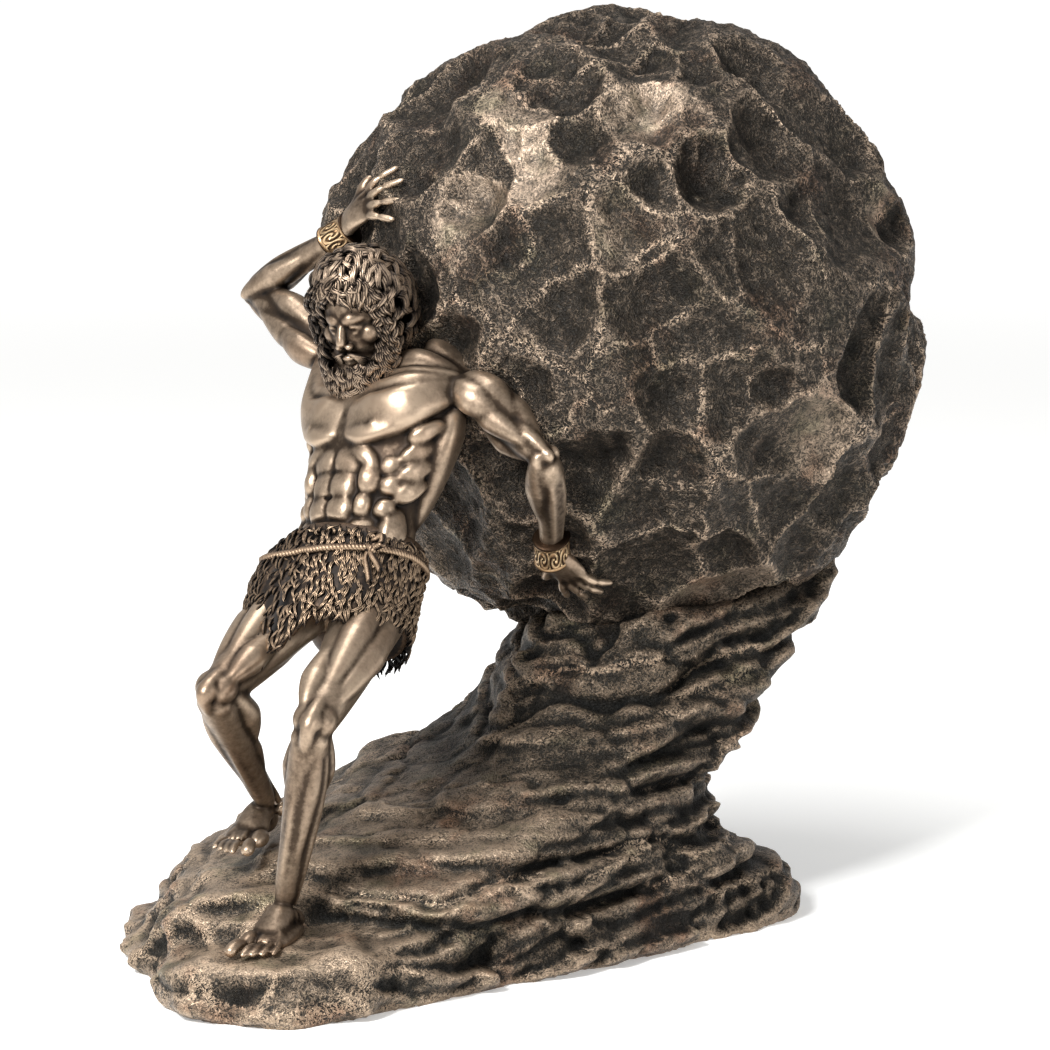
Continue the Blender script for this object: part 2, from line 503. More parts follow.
def trunkHalf(mass, body, side):
    f, s, up = body.front, body.side * side, body.axis

    def at(u, b, c):
        return trunkPoint(u, b * side, c)

    shoulder = joint("shoulderL" if side > 0 else "shoulderR")
    ends = {"arm": shoulder - s * 0.2 * h + f * 1.2 * h, "armTop": shoulder + f * 1.2 * h + up * 0.9 * h}
    for line, wide, deep, blunt in trunkPads:
        spots = [ends[spot] if isinstance(spot, str) else at(*spot) for spot in line]
        middle = line[len(line) // 2]
        spindle(mass, spots, wide, deep, unit(f * middle[2] / 5.0 + s * middle[1] / 9.0), blunt, square=0.7)
    ball(mass, at(-0.02, 3.6, -3.6), (3.9, 3.4, 4.2), (s, f, up))
    ball(mass, at(-0.1, 2.4, 0.6), (3.0, 3.4, 3.0), (s, f, up))
    ball(mass, at(0.612, 5.6, 5.75), (0.5, 0.3, 0.5), (s, f, up))
    ball(mass, at(0.612, 5.6, 6.05), (0.2, 0.25, 0.2), (s, f, up))
    # Collar bone, nape muscle, the hollow's floor and the strap of the neck
    top = shoulder + unit(unit(shoulder - joint("neck")) + (0, 0, 0.9)) * 1.4 * h
    spindle(mass, [at(0.89, 0.9, 3.0), at(0.90, 4.2, 3.2), at(0.915, 7.0, 2.4), top + f * 0.6 * h],
            (0.55, 0.45, 0.5, 0.7), (0.5, 0.5, 0.5, 0.6), f)
    spindle(mass, [at(1.18, 1.9, -1.4), at(1.04, 4.4, -1.6), top - f * 0.8 * h],
            (2.0, 2.6, 1.4), (1.6, 2.2, 1.1), up + s * 0.5, 4)
    spindle(mass, [at(0.90, 1.6, 0.6), at(0.93, 5.0, 0.6), shoulder],
            (2.6, 2.8, 2.0), (2.2, 2.4, 1.8), up, 5)
    head = joint("head")
    spindle(mass, [at(0.90, 0.9, 3.0), 0.5 * at(0.93, 1.6, 3.2) + 0.5 * head + s * 0.9 * h,
                   head + s * 2.6 * h - f * 0.6 * h],
            (0.55, 0.8, 0.8), (0.5, 0.8, 0.7), f + s * 0.4)


def headFrame():
    face = unit(pose["faceFacing"])
    nape = unit(joint("head") - joint("neck")) * 0.7 + np.array((0.25, 0.0, 1.0))
    crown = unit(nape - nape @ face * face)
    left = np.cross(face, crown)
    return (-left if left[1] > 0 else left), face, crown


def headPoint(b, c, d):
    left, face, crown = headFrame()
    return joint("head") + h * (b * left + c * face + d * crown)


def head(mass):
    frame = headFrame()
    face = frame[1]
    at = headPoint
    ball(mass, at(0, -0.9, 1.2), (4.3, 5.3, 5.0), frame)
    ball(mass, at(0, 1.0, -1.6), (3.5, 3.5, 4.6), frame)
    ball(mass, at(0, 1.9, -4.4), (2.5, 2.4, 2.2), frame)
    ball(mass, at(0, -1.0, -4.0), (2.9, 3.2, 3.4), frame)
    spindle(mass, [at(-2.8, 2.7, 0.75), at(-1.2, 4.0, 0.8), at(0, 4.1, 0.6)],
            (0.6, 0.75, 0.6), (0.5, 0.6, 0.5), face)
    spindle(mass, [at(2.8, 2.7, 0.75), at(1.2, 4.0, 0.8), at(0, 4.1, 0.6)],
            (0.6, 0.75, 0.6), (0.5, 0.6, 0.5), face)
    spindle(mass, [at(0, 3.9, 0.7), at(0, 4.9, -0.9), at(0, 5.75, -2.1)],
            (0.5, 0.55, 0.7), (0.6, 0.65, 0.6), face, 4)
    for b in (-1, 1):
        ball(mass, at(2.3 * b, 2.6, -1.5), (1.5, 1.25, 1.3), frame)
        ball(mass, at(0.72 * b, 4.85, -2.35), (0.5, 0.6, 0.42), frame)
        ball(mass, at(1.5 * b, 3.3, -0.35), (0.92, 0.85, 0.7), frame)
        # lids, and the fold from the nose's wing
        spindle(mass, [at(0.75 * b, 3.9, -0.45), at(1.5 * b, 4.25, 0.0), at(2.3 * b, 3.45, -0.4)],
                (0.2, 0.26, 0.2), (0.2, 0.26, 0.2), face)
        spindle(mass, [at(0.75 * b, 3.9, -0.5), at(1.5 * b, 4.05, -0.85), at(2.3 * b, 3.45, -0.5)],
                (0.18, 0.22, 0.18), (0.18, 0.22, 0.18), face)
        ball(mass, at(4.2 * b, -0.6, -0.6), (0.5, 0.9, 1.3), frame)
    spindle(mass, [at(-1.2, 4.1, -3.95), at(0, 4.75, -3.85), at(1.2, 4.1, -3.95)],
            (0.3, 0.42, 0.3), (0.3, 0.42, 0.3), face)
    spindle(mass, [at(-1.0, 4.0, -4.45), at(0, 4.6, -4.5), at(1.0, 4.0, -4.45)],
            (0.3, 0.45, 0.3), (0.3, 0.42, 0.3), face)


hairSizes = {
    "locks": 330, "beardLocks": 210, "strands": 4, "strandWidth": 0.62, "length": 7.6, "beardLength": 6.6,
    "sides": 5, "rings": 8, "turn": 2.39996, "beardTurn": 0.618034,  # golden steps spread the roots evenly
    "edgeCurls": 15, "edgeRows": 3, "edgeLine": [
        (0.2, 4.0, 3.9), (2.3, 3.5, 3.3), (3.7, 2.3, 1.2), (3.9, 1.9, -1.4), (3.7, 1.9, -4.0)],
}


def curl(mass, root, out, fall, length, sway, spread, count, width, rng, waves=1.7, cuts=None):
    # One lock: strands side by side along an S bend, drawn together at the tip
    across = unit(np.cross(fall, out))
    for strand in range(count):
        side = (strand - (count - 1) / 2) * spread
        part = rng.uniform(0.85, 1.1) * length
        lift = 0.5 * (1 - abs(2 * strand / max(count - 1, 1) - 1))
        spots = []
        for t in (0.0, 0.17, 0.33, 0.5, 0.67, 0.83, 1.0):
            bend = sway * np.sin(waves * np.pi * t + 0.4)
            place = root + fall * part * (t - 0.4) + across * (bend + side * (1.0 - 0.55 * t * t))
            spots.append(place + out * (lift + 0.9 * np.sin(np.pi * min(t * 1.2, 1.0)) - 1.1 * t * t))
        spindle(mass, spots, (width * 0.7 / h, width / h, width * 0.4 / h),
                (width * 0.8 / h, width / h, width * 0.4 / h),
                out, 4, *(cuts or (hairSizes["sides"], hairSizes["rings"])))


def hair(mass):
    left, face, crown = headFrame()
    look = hairSizes
    rng = np.random.default_rng(7)
    ball(mass, headPoint(0, -1.7, 1.5), (4.9, 5.2, 5.3), (left, face, crown))
    ball(mass, headPoint(0, -2.0, -2.6), (4.4, 3.9, 4.0), (left, face, crown))
    for k in range(look["locks"]):
        d = 1 - 1.75 * (k + 0.5) / look["locks"]
        turn = k * look["turn"] + rng.normal() * 0.1
        level = np.sqrt(max(0.0, 1 - d * d))
        b, c = level * np.cos(turn), level * np.sin(turn)
        if c > 0.52 and d < 0.66:
            continue
        out = unit(b * left + c * face + d * crown)
        border = np.clip((c - 0.1) / 0.45, 0, 1) * np.clip((0.8 - d) / 0.3, 0, 1)
        grow = 6.3 + 0.6 * rng.random() - 1.9 * border
        root = headPoint(b * grow * 0.92, c * grow * 0.98 - 0.9, d * grow + 0.7 - 0.8 * (d < -0.2))
        flow = -crown * 1.0 + out * 0.1 + face * (0.9 if c > 0 and d > 0.3 else -0.3) * level
        flow = flow + left * 0.5 * np.sign(b) * (d > 0.5)
        flow = flow + left * rng.normal() * 0.35 + face * rng.normal() * 0.35
        fall = unit(flow - flow @ out * out)
        length = look["length"] * rng.uniform(0.8, 1.15)
        sway = rng.choice((-1, 1)) * rng.uniform(0.9, 1.7)
        curl(mass, root, out, fall, length, sway, 0.66, look["strands"], look["strandWidth"], rng)


def hairLine(mass):
    # Curls that frame the face, from the forehead's middle round the temple to the jaw, in three rows
    left, face, crown = headFrame()
    look = hairSizes
    rng = np.random.default_rng(23)
    line = along(look["edgeLine"], (np.arange(look["edgeCurls"]) + 0.5) / look["edgeCurls"])
    for row in range(look["edgeRows"]):
        for b in (-1, 1):
            for spot in line:
                out = unit(left * spot[0] * b * 0.9 + face * (1.2 + 0.3 * spot[1]) + crown * (spot[2] * 0.22))
                flow = -crown + left * b * (0.7 * (spot[2] > 2.0)) + left * rng.normal() * 0.35
                fall = unit(flow - flow @ out * out)
                grow = 1.0 + 0.19 * row
                high = spot[2] + 0.55 * row * (spot[2] > 0) + rng.normal() * 0.3
                root = headPoint(spot[0] * b * grow, spot[1] * (1 - 0.12 * row) + 0.25 * row, high)
                length = look["length"] * rng.uniform(0.6, 0.9)
                sway = rng.choice((-1, 1)) * rng.uniform(0.7, 1.3)
                curl(mass, root, out, fall, length, sway, 0.6, 3, look["strandWidth"], rng)


def beard(mass):
    left, face, crown = headFrame()
    look = hairSizes
    rng = np.random.default_rng(17)
    spindle(mass, [headPoint(0, 2.4, -4.2), headPoint(0, 2.8, -7.8), headPoint(0, 2.7, -12.4)],
            (3.9, 3.8, 1.8), (2.1, 2.5, 1.4), face, 4)
    for b in (-1, 1):
        spindle(mass, [headPoint(3.7 * b, 0.4, -1.6), headPoint(3.5 * b, 1.4, -4.2),
                       headPoint(1.8 * b, 2.6, -6.6)],
                (1.1, 1.5, 1.3), (1.0, 1.3, 1.2), unit(b * left + face), 4)
        for strand in range(9):  # moustache
            start = headPoint(0.15 * b, 5.0 - 0.1 * strand, -3.15 - 0.07 * strand)
            middle = headPoint(1.2 * b, 4.95 - 0.12 * strand, -3.4 - 0.2 * strand)
            end = headPoint((2.5 - 0.12 * strand) * b, 3.9, -4.3 - 0.32 * strand)
            spindle(mass, [start, middle, end + left * b * 0.3],
                    (0.2, 0.26, 0.14), (0.24, 0.3, 0.14), face, 4, 5, 8)
    for k in range(look["beardLocks"]):
        share = (k + 0.5) / look["beardLocks"]
        turn = (k * look["beardTurn"] % 1.0) * 2 - 1
        d = -2.2 - 12.0 * share ** 0.9
        wide = np.interp(-d, (2.0, 4.0, 7.5, 11.0, 13.5), (4.6, 5.0, 4.8, 3.6, 1.8))
        angle = turn * 1.75
        if d > -4.9 and abs(turn) < 0.42:
            continue
        deep = np.interp(-d, (2.0, 4.0, 7.5, 11.0, 13.5), (3.6, 3.6, 3.3, 2.6, 1.4))
        b, c = wide * np.sin(angle), deep * np.cos(angle) + np.interp(-d, (2.0, 5.0, 10.0), (0.6, 2.0, 2.7))
        out = unit(left * np.sin(angle) + face * (np.cos(angle) + 0.2) - crown * 0.15)
        flow = -crown + left * rng.normal() * 0.4 + out * 0.15 - face * 0.1
        fall = unit(flow - flow @ out * out)
        length = look["beardLength"] * rng.uniform(0.8, 1.1)
        sway = rng.choice((-1, 1)) * rng.uniform(0.8, 1.4)
        width = look["strandWidth"] * 0.92
        curl(mass, headPoint(b, c, d), out, fall, length, sway, 0.66, look["strands"], width, rng)


kiltSizes = {
    "rows": 17, "around": 84, "lock": 6.2, "width": 0.38, "top": 0.155, "sway": 1.2,
    "waist": (9.0, 7.4), "flare": 1.7, "cuts": (4, 9), "strips": 48,
    "ropeTurns": 66, "ropeLevel": 0.085, "ropeSpots": 48,
}


def kiltDrop(b, c):
    # How far the fur falls, in shares of the trunk: long between the legs and behind, short over the thighs
    front = max(c, 0.0)
    return 0.29 + 0.03 * b + 0.27 * front * np.exp(-(b / 0.36) ** 2) + 0.14 * max(-c, 0.0)


def kiltPoint(b, c, share):
    # A place on the fur's surface and the way it faces
    body = trunkBone()
    look = kiltSizes
    u = look["top"] - share * kiltDrop(b, c)
    flare = look["flare"] * share ** 0.7 + 1.1 * share * max(c, 0.0)
    flare += 1.6 * max(-b, 0.0) * np.sin(np.pi * share) - 2.2 * share * max(-c, 0.0)
    side = "L" if b > 0 else "R"
    thigh = unit(joint("knee" + side) - joint("hip" + side))
    push = thigh * max(c, -0.2) * 3.4 * share * abs(b) ** 0.5 * h
    spot = body.at(u, b * (look["waist"][0] + flare), c * (look["waist"][1] + flare) + 0.3) + push
    return spot, unit(body.aim(b, c) + body.axis * 0.25 * share)


def fur(mass):
    look = kiltSizes
    body = trunkBone()
    rng = np.random.default_rng(11)
    for row in range(look["rows"]):
        share = row / (look["rows"] - 1)
        for k in range(look["around"]):
            turn = 2 * np.pi * (k + 0.5 * (row % 2) + 0.3 * rng.normal()) / look["around"]
            b, c = np.cos(turn), np.sin(turn)
            spot, out = kiltPoint(b, c, np.clip(share + 0.03 * rng.normal(), 0, 1))
            flow = -body.axis * (1.0 if row else -0.6) + body.side * 0.22 * rng.normal() + out * 0.2
            fall = unit(flow - flow @ out * out)
            root = spot - out * 0.5 * rng.random()
            fall = unit(fall + out * rng.uniform(0.05, 0.4))
            length = look["lock"] * rng.uniform(0.7, 1.15) * (0.6 if row == 0 else 1)
            sway = rng.choice((-1, 1)) * look["sway"] * rng.uniform(0.5, 1.4)
            waves = rng.uniform(0.9, 1.4)
            curl(mass, root, out, fall, length, sway, 0.5, 2, look["width"], rng, waves, look["cuts"])


def kilt(mass):
    # The hide under the fur
    body = trunkBone()
    for k in range(kiltSizes["strips"]):
        turn = 2 * np.pi * k / kiltSizes["strips"]
        b, c = np.cos(turn), np.sin(turn)
        spots = [kiltPoint(b, c, share)[0] - kiltPoint(b, c, share)[1] * 1.7 for share in (0.0, 0.5, 1.0)]
        spindle(mass, spots, (0.8, 1.0, 0.9), (0.8, 0.9, 0.6), kiltPoint(b, c, 0.5)[1], 8, 10, 14)
    spindle(mass, [body.at(0.24, 0, 0.3), body.at(0.05, 0, 0.1), body.at(-0.1, 0, 0.0)],
            (8.6, 9.4, 8.8), (6.9, 7.6, 7.4), body.front, 12, 28, 14)
    for b in (-1, 1):
        ball(mass, body.at(-0.12, 3.2 * b, -2.6), (4.3, 4.0, 4.6), (body.side, body.front, body.axis))


def ropeSpot(turn, level, stand=0.0):
    b, c = np.cos(turn), np.sin(turn)
    level = level + 0.035 * max(b, 0.0) - 0.03 * max(c, 0.0)
    share = (kiltSizes["top"] - level) / kiltDrop(b, c)
    spot, out = kiltPoint(b, c, share)
    return spot + out * (0.2 + stand), out


def twist(mass, path, thick, beads):
    # A twisted cord along a path: slanting beads, each lapping the next
    path = np.asarray(path, float)
    t = (np.arange(beads) + 0.5) / beads
    centre = along(path, t)
    ahead = along(path, np.clip(t + 0.01, 0, 1)) - along(path, np.clip(t - 0.01, 0, 1))
    pitch = np.linalg.norm(np.diff(centre, axis=0), axis=1).mean()
    for k in range(beads):
        run = unit(ahead[k])
        aside = unit(np.cross(run, (0.3, -0.4, 0.86)))
        over = np.cross(run, aside)
        for turn in (0.0, np.pi):
            side = aside * np.cos(turn) + over * np.sin(turn)
            low, high = centre[k] - run * pitch, centre[k] + run * pitch
            lift = over * np.cos(turn) - aside * np.sin(turn)
            spindle(mass, [low - lift * thick * 0.45, centre[k] + side * thick * 0.5,
                           high + lift * thick * 0.45],
                    (thick * 0.42 / h,) * 3, (thick * 0.42 / h,) * 3, side, 4, 6, 6)


def rope(mass):
    look = kiltSizes
    turns = np.linspace(0, 2 * np.pi, look["ropeSpots"] + 1)
    path = [ropeSpot(turn, look["ropeLevel"] + 0.012 * np.sin(2 * turn))[0] for turn in turns]
    twist(mass, path, 1.9, 2 * look["ropeTurns"])
    knot, out = ropeSpot(0.62, look["ropeLevel"], 0.6)
    body = trunkBone()
    down, side = -body.axis, body.side
    ball(mass, knot, (0.8, 0.7, 0.75), (side, body.front, body.axis))
    twist(mass, [knot - side * 1.2 - down * 0.8, knot + out * 1.4, knot + side * 1.2 + down * 0.8], 1.5, 8)
    loop = [knot, knot + side * 1.0 - down * 2.6 + out, knot + side * 3.4 - down * 3.6 + out * 0.8,
            knot + side * 3.8 - down * 1.2 + out * 0.8, knot]
    twist(mass, loop, 1.3, 24)
    twist(mass, [knot, knot + down * 3 - side * 0.8 + out, knot + down * 6 + side * 0.6 + out * 1.4,
                 knot + down * 9.5 + side * 2.6 + out], 1.4, 22)
    twist(mass, [knot, knot + down * 2.5 + side * 1.6 + out * 1.2, knot + down * 4.5 + side * 4.0 + out,
                 knot + down * 6.5 + side * 6.0 + out], 1.4, 18)


cuffSizes = {"start": 0.83, "end": 1.11, "radius": 2.3, "rim": 0.4, "scroll": 0.18, "scrolls": 9}


def cuffBand(mass, lower):
    # A band with a raised rim at each end and running scrolls cut in it
    ball, faces = form("sphere", 150, 60)
    t = np.arccos(np.clip(ball[:, 2], -1, 1)) / np.pi
    turn = np.arctan2(ball[:, 1], ball[:, 0])
    swell = np.sqrt(np.clip(1 - np.abs(2 * t - 1) ** 40, 0, 1))
    rim = np.exp(-(((np.abs(2 * t - 1) - 0.86) / 0.10) ** 2))
    size = cuffSizes
    cell = (turn / (2 * np.pi) * size["scrolls"]) % 1.0 - 0.5
    tall = (t - 0.5) * 2.6
    far = np.hypot(cell * 2, tall)
    scroll = np.cos(np.arctan2(tall, cell * 2) * 2 - far * 9.0) * (np.abs(2 * t - 1) < 0.66)
    reach = (size["radius"] * h + size["rim"] * rim + size["scroll"] * scroll) * swell
    start, end = lower.at(size["start"]), lower.at(size["end"])
    place = start + (end - start) * t[:, None]
    place = place + lower.side * (np.cos(turn) * reach)[:, None]
    place = place + lower.front * (np.sin(turn) * reach * 0.88)[:, None]
    mass.add(place, faces)


def cuffs(mass):
    for side in "LR":
        cuffBand(mass, armBones(side)[1])


# Noise, smoothing and relief on finished meshes

def lattice(cell, seed):
    n = cell[:, 0] * 374761393 + cell[:, 1] * 668265263 + cell[:, 2] * 1440662683 + seed * 1274126177
    n = (n ^ (n >> 13)) * 1274126177
    n = n ^ (n >> 16)
    return (n & 0xFFFFFF) / float(0xFFFFFF) * 2 - 1


def noise(points, size, seed):
    q = points / size
    cell = np.floor(q).astype(np.int64)
    part = q - cell
    part = part * part * (3 - 2 * part)
    total = np.zeros(len(points))
    for i in (0, 1):
        for j in (0, 1):
            for k in (0, 1):
                corner = np.array((i, j, k))
                weight = np.prod(np.where(corner == 1, part, 1 - part), axis=1)
                total += weight * lattice(cell + corner, seed)
    return total


def noise3(points, size, seed):  # a push in all three ways
    return np.stack([noise(points, size, seed + i) for i in range(3)], axis=1)


def crags(points, size, seed, layers=3):  # sharp-crested noise
    total = np.zeros(len(points))
    for layer in range(layers):
        total += (1 - 2 * np.abs(noise(points, size / 2 ** layer, seed + layer))) / 2 ** layer
    return total / 1.6


def readMesh(data):
    points = np.empty(len(data.vertices) * 3)
    data.vertices.foreach_get("co", points)
    edges = np.empty(len(data.edges) * 2, np.int64)
    data.edges.foreach_get("vertices", edges)
    return points.reshape(-1, 3) / mm, edges.reshape(-1, 2)


def normalsOf(data):
    normals = np.empty(len(data.vertices) * 3)
    data.vertex_normals.foreach_get("vector", normals)
    return normals.reshape(-1, 3)


def writePoints(data, points):
    data.vertices.foreach_set("co", (points * mm).ravel())
    data.update()


def relax(points, edges, rounds):  # each point moves half way to its neighbours' middle
    count = len(points)
    a, b = edges.T
    degree = np.bincount(a, minlength=count) + np.bincount(b, minlength=count)
    for _ in range(rounds):
        total = np.stack([np.bincount(a, points[b, i], count) + np.bincount(b, points[a, i], count)
                          for i in range(points.shape[1])], axis=1)
        points = (points + total / degree[:, None]) / 2
    return points


def storeRelief(data, name, rounds, scale):
    # How far each point stands out of the smoothed surface: 0 in hollows, 1 on crests
    points, edges = readMesh(data)
    lift = np.sum((points - relax(points, edges, rounds)) * normalsOf(data), axis=1)
    layer = data.attributes.new(name, "FLOAT", "POINT")
    layer.data.foreach_set("value", np.clip(0.5 + lift / (2 * scale), 0, 1))


def remeshed(piece, voxel, most):
    merge = piece.modifiers.new("one casting", "REMESH")
    merge.mode = "VOXEL"
    merge.voxel_size = voxel * mm
    seen = piece.evaluated_get(bpy.context.evaluated_depsgraph_get())
    total = sum(len(p.vertices) - 2 for p in seen.data.polygons)
    if total > most:
        thin = piece.modifiers.new("thin", "DECIMATE")
        thin.ratio = most / total
        seen = piece.evaluated_get(bpy.context.evaluated_depsgraph_get())
    data = bpy.data.meshes.new_from_object(seen)
    piece.modifiers.clear()
    old = piece.data
    piece.data = data
    bpy.data.meshes.remove(old)
    return data


def lowestBowl(points, seeds, base, curve):
    # The lowest of many shallow bowls, the distance to the ridge beside it and the way there
    value, edge = np.empty(len(points)), np.empty(len(points))
    way, owner = np.empty((len(points), 3)), np.empty(len(points), int)
    for part in np.array_split(np.arange(len(points)), len(points) // 15000 + 1):
        spots = points[part]
        gap = (spots ** 2).sum(1)[:, None] + (seeds ** 2).sum(1) - 2 * spots @ seeds.T
        bowl = base + curve * gap
        order = np.argpartition(bowl, 1, axis=1)[:, :2]
        rows = np.arange(len(spots))
        a, b = order[:, 0], order[:, 1]
        slope = 2 * curve[b][:, None] * (spots - seeds[b]) - 2 * curve[a][:, None] * (spots - seeds[a])
        steep = np.linalg.norm(slope, axis=1) + 1e-6
        value[part] = bowl[rows, a]
        edge[part] = (bowl[rows, b] - bowl[rows, a]) / steep
        way[part] = -slope / steep[:, None] * edge[part][:, None]
        owner[part] = a
    return value, edge, way, owner


def boulderCuts(direction):
    # Gouged hollows all over the ball: where two meet, a sharp ridge is left
    size = boulderSizes
    count = int(round(4 * np.pi * (size["radius"] / size["scoopWidth"]) ** 2 * size["scoopCrowd"]))
    k = np.arange(count) + 0.5
    high = 1 - 2 * k / count
    turn = k * np.pi * (3 - np.sqrt(5))
    level = np.sqrt(1 - high * high)
    seeds = np.stack((level * np.cos(turn), level * np.sin(turn), high), axis=1)
    rng = np.random.default_rng(3)
    seeds = seeds + rng.normal(size=seeds.shape) * size["scoopSpread"]
    seeds /= np.linalg.norm(seeds, axis=1)[:, None]
    base = rng.uniform(*size["scoopLevel"], count)
    curve = rng.uniform(*size["scoopCurve"], count)
    worn = rng.random(count) < size["planed"]
    warp = noise3(direction, 0.24, 20) * 0.055 + noise3(direction, 0.07, 24) * 0.022
    warp += noise3(direction, 0.03, 27) * 0.008
    spots = (direction + warp) * size["radius"]
    value, edge, way, owner = lowestBowl(spots, seeds * size["radius"], base, curve)
    return value, edge, way, worn[owner]


def chips(direction):
    # A second, smaller set of cuts inside the first
    rng = np.random.default_rng(9)
    size = boulderSizes
    count = size["chips"]
    seeds = rng.normal(size=(count, 3))
    seeds *= size["radius"] / np.linalg.norm(seeds, axis=1)[:, None]
    spots = (direction + noise3(direction, 0.08, 61) * 0.02) * size["radius"]
    value = lowestBowl(spots, seeds, rng.uniform(-0.8, 0.8, count), np.full(count, 0.05))[0]
    return np.minimum(value, size["chipMost"]) * np.clip(0.5 + 1.4 * noise(direction, 0.35, 65), 0, 1)


def boulderSwell(direction):
    # The boulder stands fuller behind the raised hand
    gap = np.linalg.norm(direction - unit(boulderSizes["swellToward"]), axis=-1) * boulderSizes["radius"]
    return boulderSizes["swell"] * np.exp(-(gap / boulderSizes["swellWidth"]) ** 2)


def boulderRise(direction):
    value, edge, way, worn = boulderCuts(direction)
    size = boulderSizes
    fade = np.clip(1.6 * noise(direction, 0.3, 29), 0, 1)
    rise = size["scoopGain"] * np.minimum(value, size["scoopMost"]) - size["sink"]
    rise += boulderSwell(direction) - 0.5 * fade * np.exp(-(edge / 1.6) ** 2)
    return rise + 0.9 * chips(direction) + 0.8 * noise(direction, 0.5, 5), edge, way, worn


def rockNose(z):
    # How far down the slope each level reaches, where the ramp's crest runs
    return rockSizes["left"] + (rockSizes["tip"][0] - rockSizes["left"]) * np.interp(
        z, (0, 10, 18, 26, 31, 40, 46, 50, 58, 66, 78, 90, 112),
        (0, 0.01, 0.05, 0.13, 0.24, 0.35, 0.44, 0.49, 0.53, 0.56, 0.60, 0.63, 0.77))


def rockHeel(z):
    # How far each level reaches at the steep right end: plinth, waist and the arm's tip
    return rockSizes["right"] + (rockSizes["tip"][0] - rockSizes["right"]) * np.interp(
        z, (0, 10, 16, 24, 30, rockSizes["shoulder"], 65, 73, 86, 99, rockSizes["tip"][2]),
        (0, 0.02, -0.6, -1.3, -1.5, -1.2, -0.6, -0.45, 0.2, 0.7, 1.0))


def rockFace(x, z):
    # The front side: steep, drawn in behind the left foot and under the boulder
    levels = (0, rockSizes["plinth"], 30, 60, 85, 112)
    slope = rockSizes["front"] + np.interp(z, levels, (0, 1, 8, 22, 34, 28))
    arm = rockSizes["front"] + np.interp(z, (0, rockSizes["plinth"], 40, 70, 112), (0, 1, 12, 18, 21))
    right = np.clip((x - 5) / 60, 0, 1)
    face = slope * (1 - right) + arm * right
    step = np.clip((rockSizes["left"] + 66 - x) / 16, 0, 1) * np.clip((z - 16) / 3, 0, 1)
    face = face + 34 * step
    nose = rockSizes["front"] + 22 - 2.4 * (x - rockSizes["left"])
    high = rockSizes["front"] + 54 - 1.3 * (x - rockNose(z))
    return np.maximum(face, np.where(z < 16, nose, high))


def rockRear(x, z):
    # The far side falls away from the crest, in line with the nose of each level
    rear = rockSizes["back"] - np.interp(z, (0, rockSizes["plinth"], 40, 75, 112), (0, 2, 10, 22, 34))
    nose = np.where(z < 7, rockSizes["back"] - 72 + 1.75 * (x - rockSizes["left"]),
                    rockSizes["back"] - 64 + 1.1 * (x - rockNose(z)))
    return np.minimum(rear, nose)


def slab(mass, start, end, sag, thick, seed):
    # One stratum: a block bent along a rising line, thin at its nose, its sides on the rock's faces
    flat, faces = form("block", 30, 12)
    a, b, level = flat[:, 0], flat[:, 1], 2 * flat[:, 2] - 1
    t = (a + 1) / 2
    x = start[0] + t * (end[0] - start[0])
    z = start[1] + t ** 1.3 * (end[1] - start[1]) + sag * 4 * t * (1 - t)
    jut = rockSizes["ledge"] * noise(np.full((1, 3), seed * 7.3), 1.0, seed)[0]
    front, back = rockFace(x, z) - jut, rockRear(x, z) + jut
    back = np.maximum(back, front + 12)
    pull = 1 - 0.25 * np.abs(a) ** 8
    y = (front + back) / 2 + b * pull * (back - front) / 2
    x = x - np.sign(a) * np.where(np.abs(a) > 0.8, (np.abs(a) - 0.8) * 22 * np.abs(b) ** 3, 0)
    around = np.stack((x, y, z), axis=1)
    rough = noise(around, 17.0, seed) + 0.6 * noise(around, 8.0, seed + 40)
    edge = np.abs(b) > 0.98
    y = y + np.where(edge, rough * rockSizes["ledge"] * b, 0)
    x = x + np.where(np.abs(a) > 0.98, rough * rockSizes["ledge"], 0)
    wedge = np.clip(0.35 + 1.6 * t, 0, 1)
    z = z + level * wedge * thick / 2 + 0.35 * rockSizes["ledge"] * noise(around, 26.0, seed + 9)
    z = np.maximum(z, 0.0) if start[1] > rockSizes["stratum"] else np.where(level < 0, 0.0, z)
    mass.add(np.stack((x, y, z), axis=1), faces)


def rock(mass):
    # Strata stacked from the plinth up to the arm that cradles the boulder
    count = int(round(rockSizes["tip"][2] / rockSizes["stratum"]))
    thick = rockSizes["stratum"] * 1.7
    for k in range(count):
        share = k / (count - 1)
        leftZ = 3.0 + (rockSizes["tip"][2] * 0.84 - 3.0) * share ** 1.05
        rightZ = 4.0 + (rockSizes["tip"][2] - 6.0) * share ** 0.9
        sag = -13.0 * max(0.0, share - 0.45) / 0.55
        slab(mass, (rockNose(leftZ), leftZ), (rockHeel(rightZ), rightZ), sag, thick, 60 + k)


# Materials

def linear(code):  # an sRGB hex value as a linear colour
    parts = [int(code[i:i + 2], 16) / 255 for i in (1, 3, 5)]
    return [c / 12.92 if c <= 0.04045 else ((c + 0.055) / 1.055) ** 2.4 for c in parts] + [1.0]


def addNode(tree, kind, settings=None, inputs=None):
    node = tree.nodes.new("ShaderNode" + kind)
    for key, value in (settings or {}).items():
        setattr(node, key, value)
    for key, value in (inputs or {}).items():
        if isinstance(value, bpy.types.NodeSocket):
            tree.links.new(value, node.inputs[key])
        else:
            node.inputs[key].default_value = value
    return node


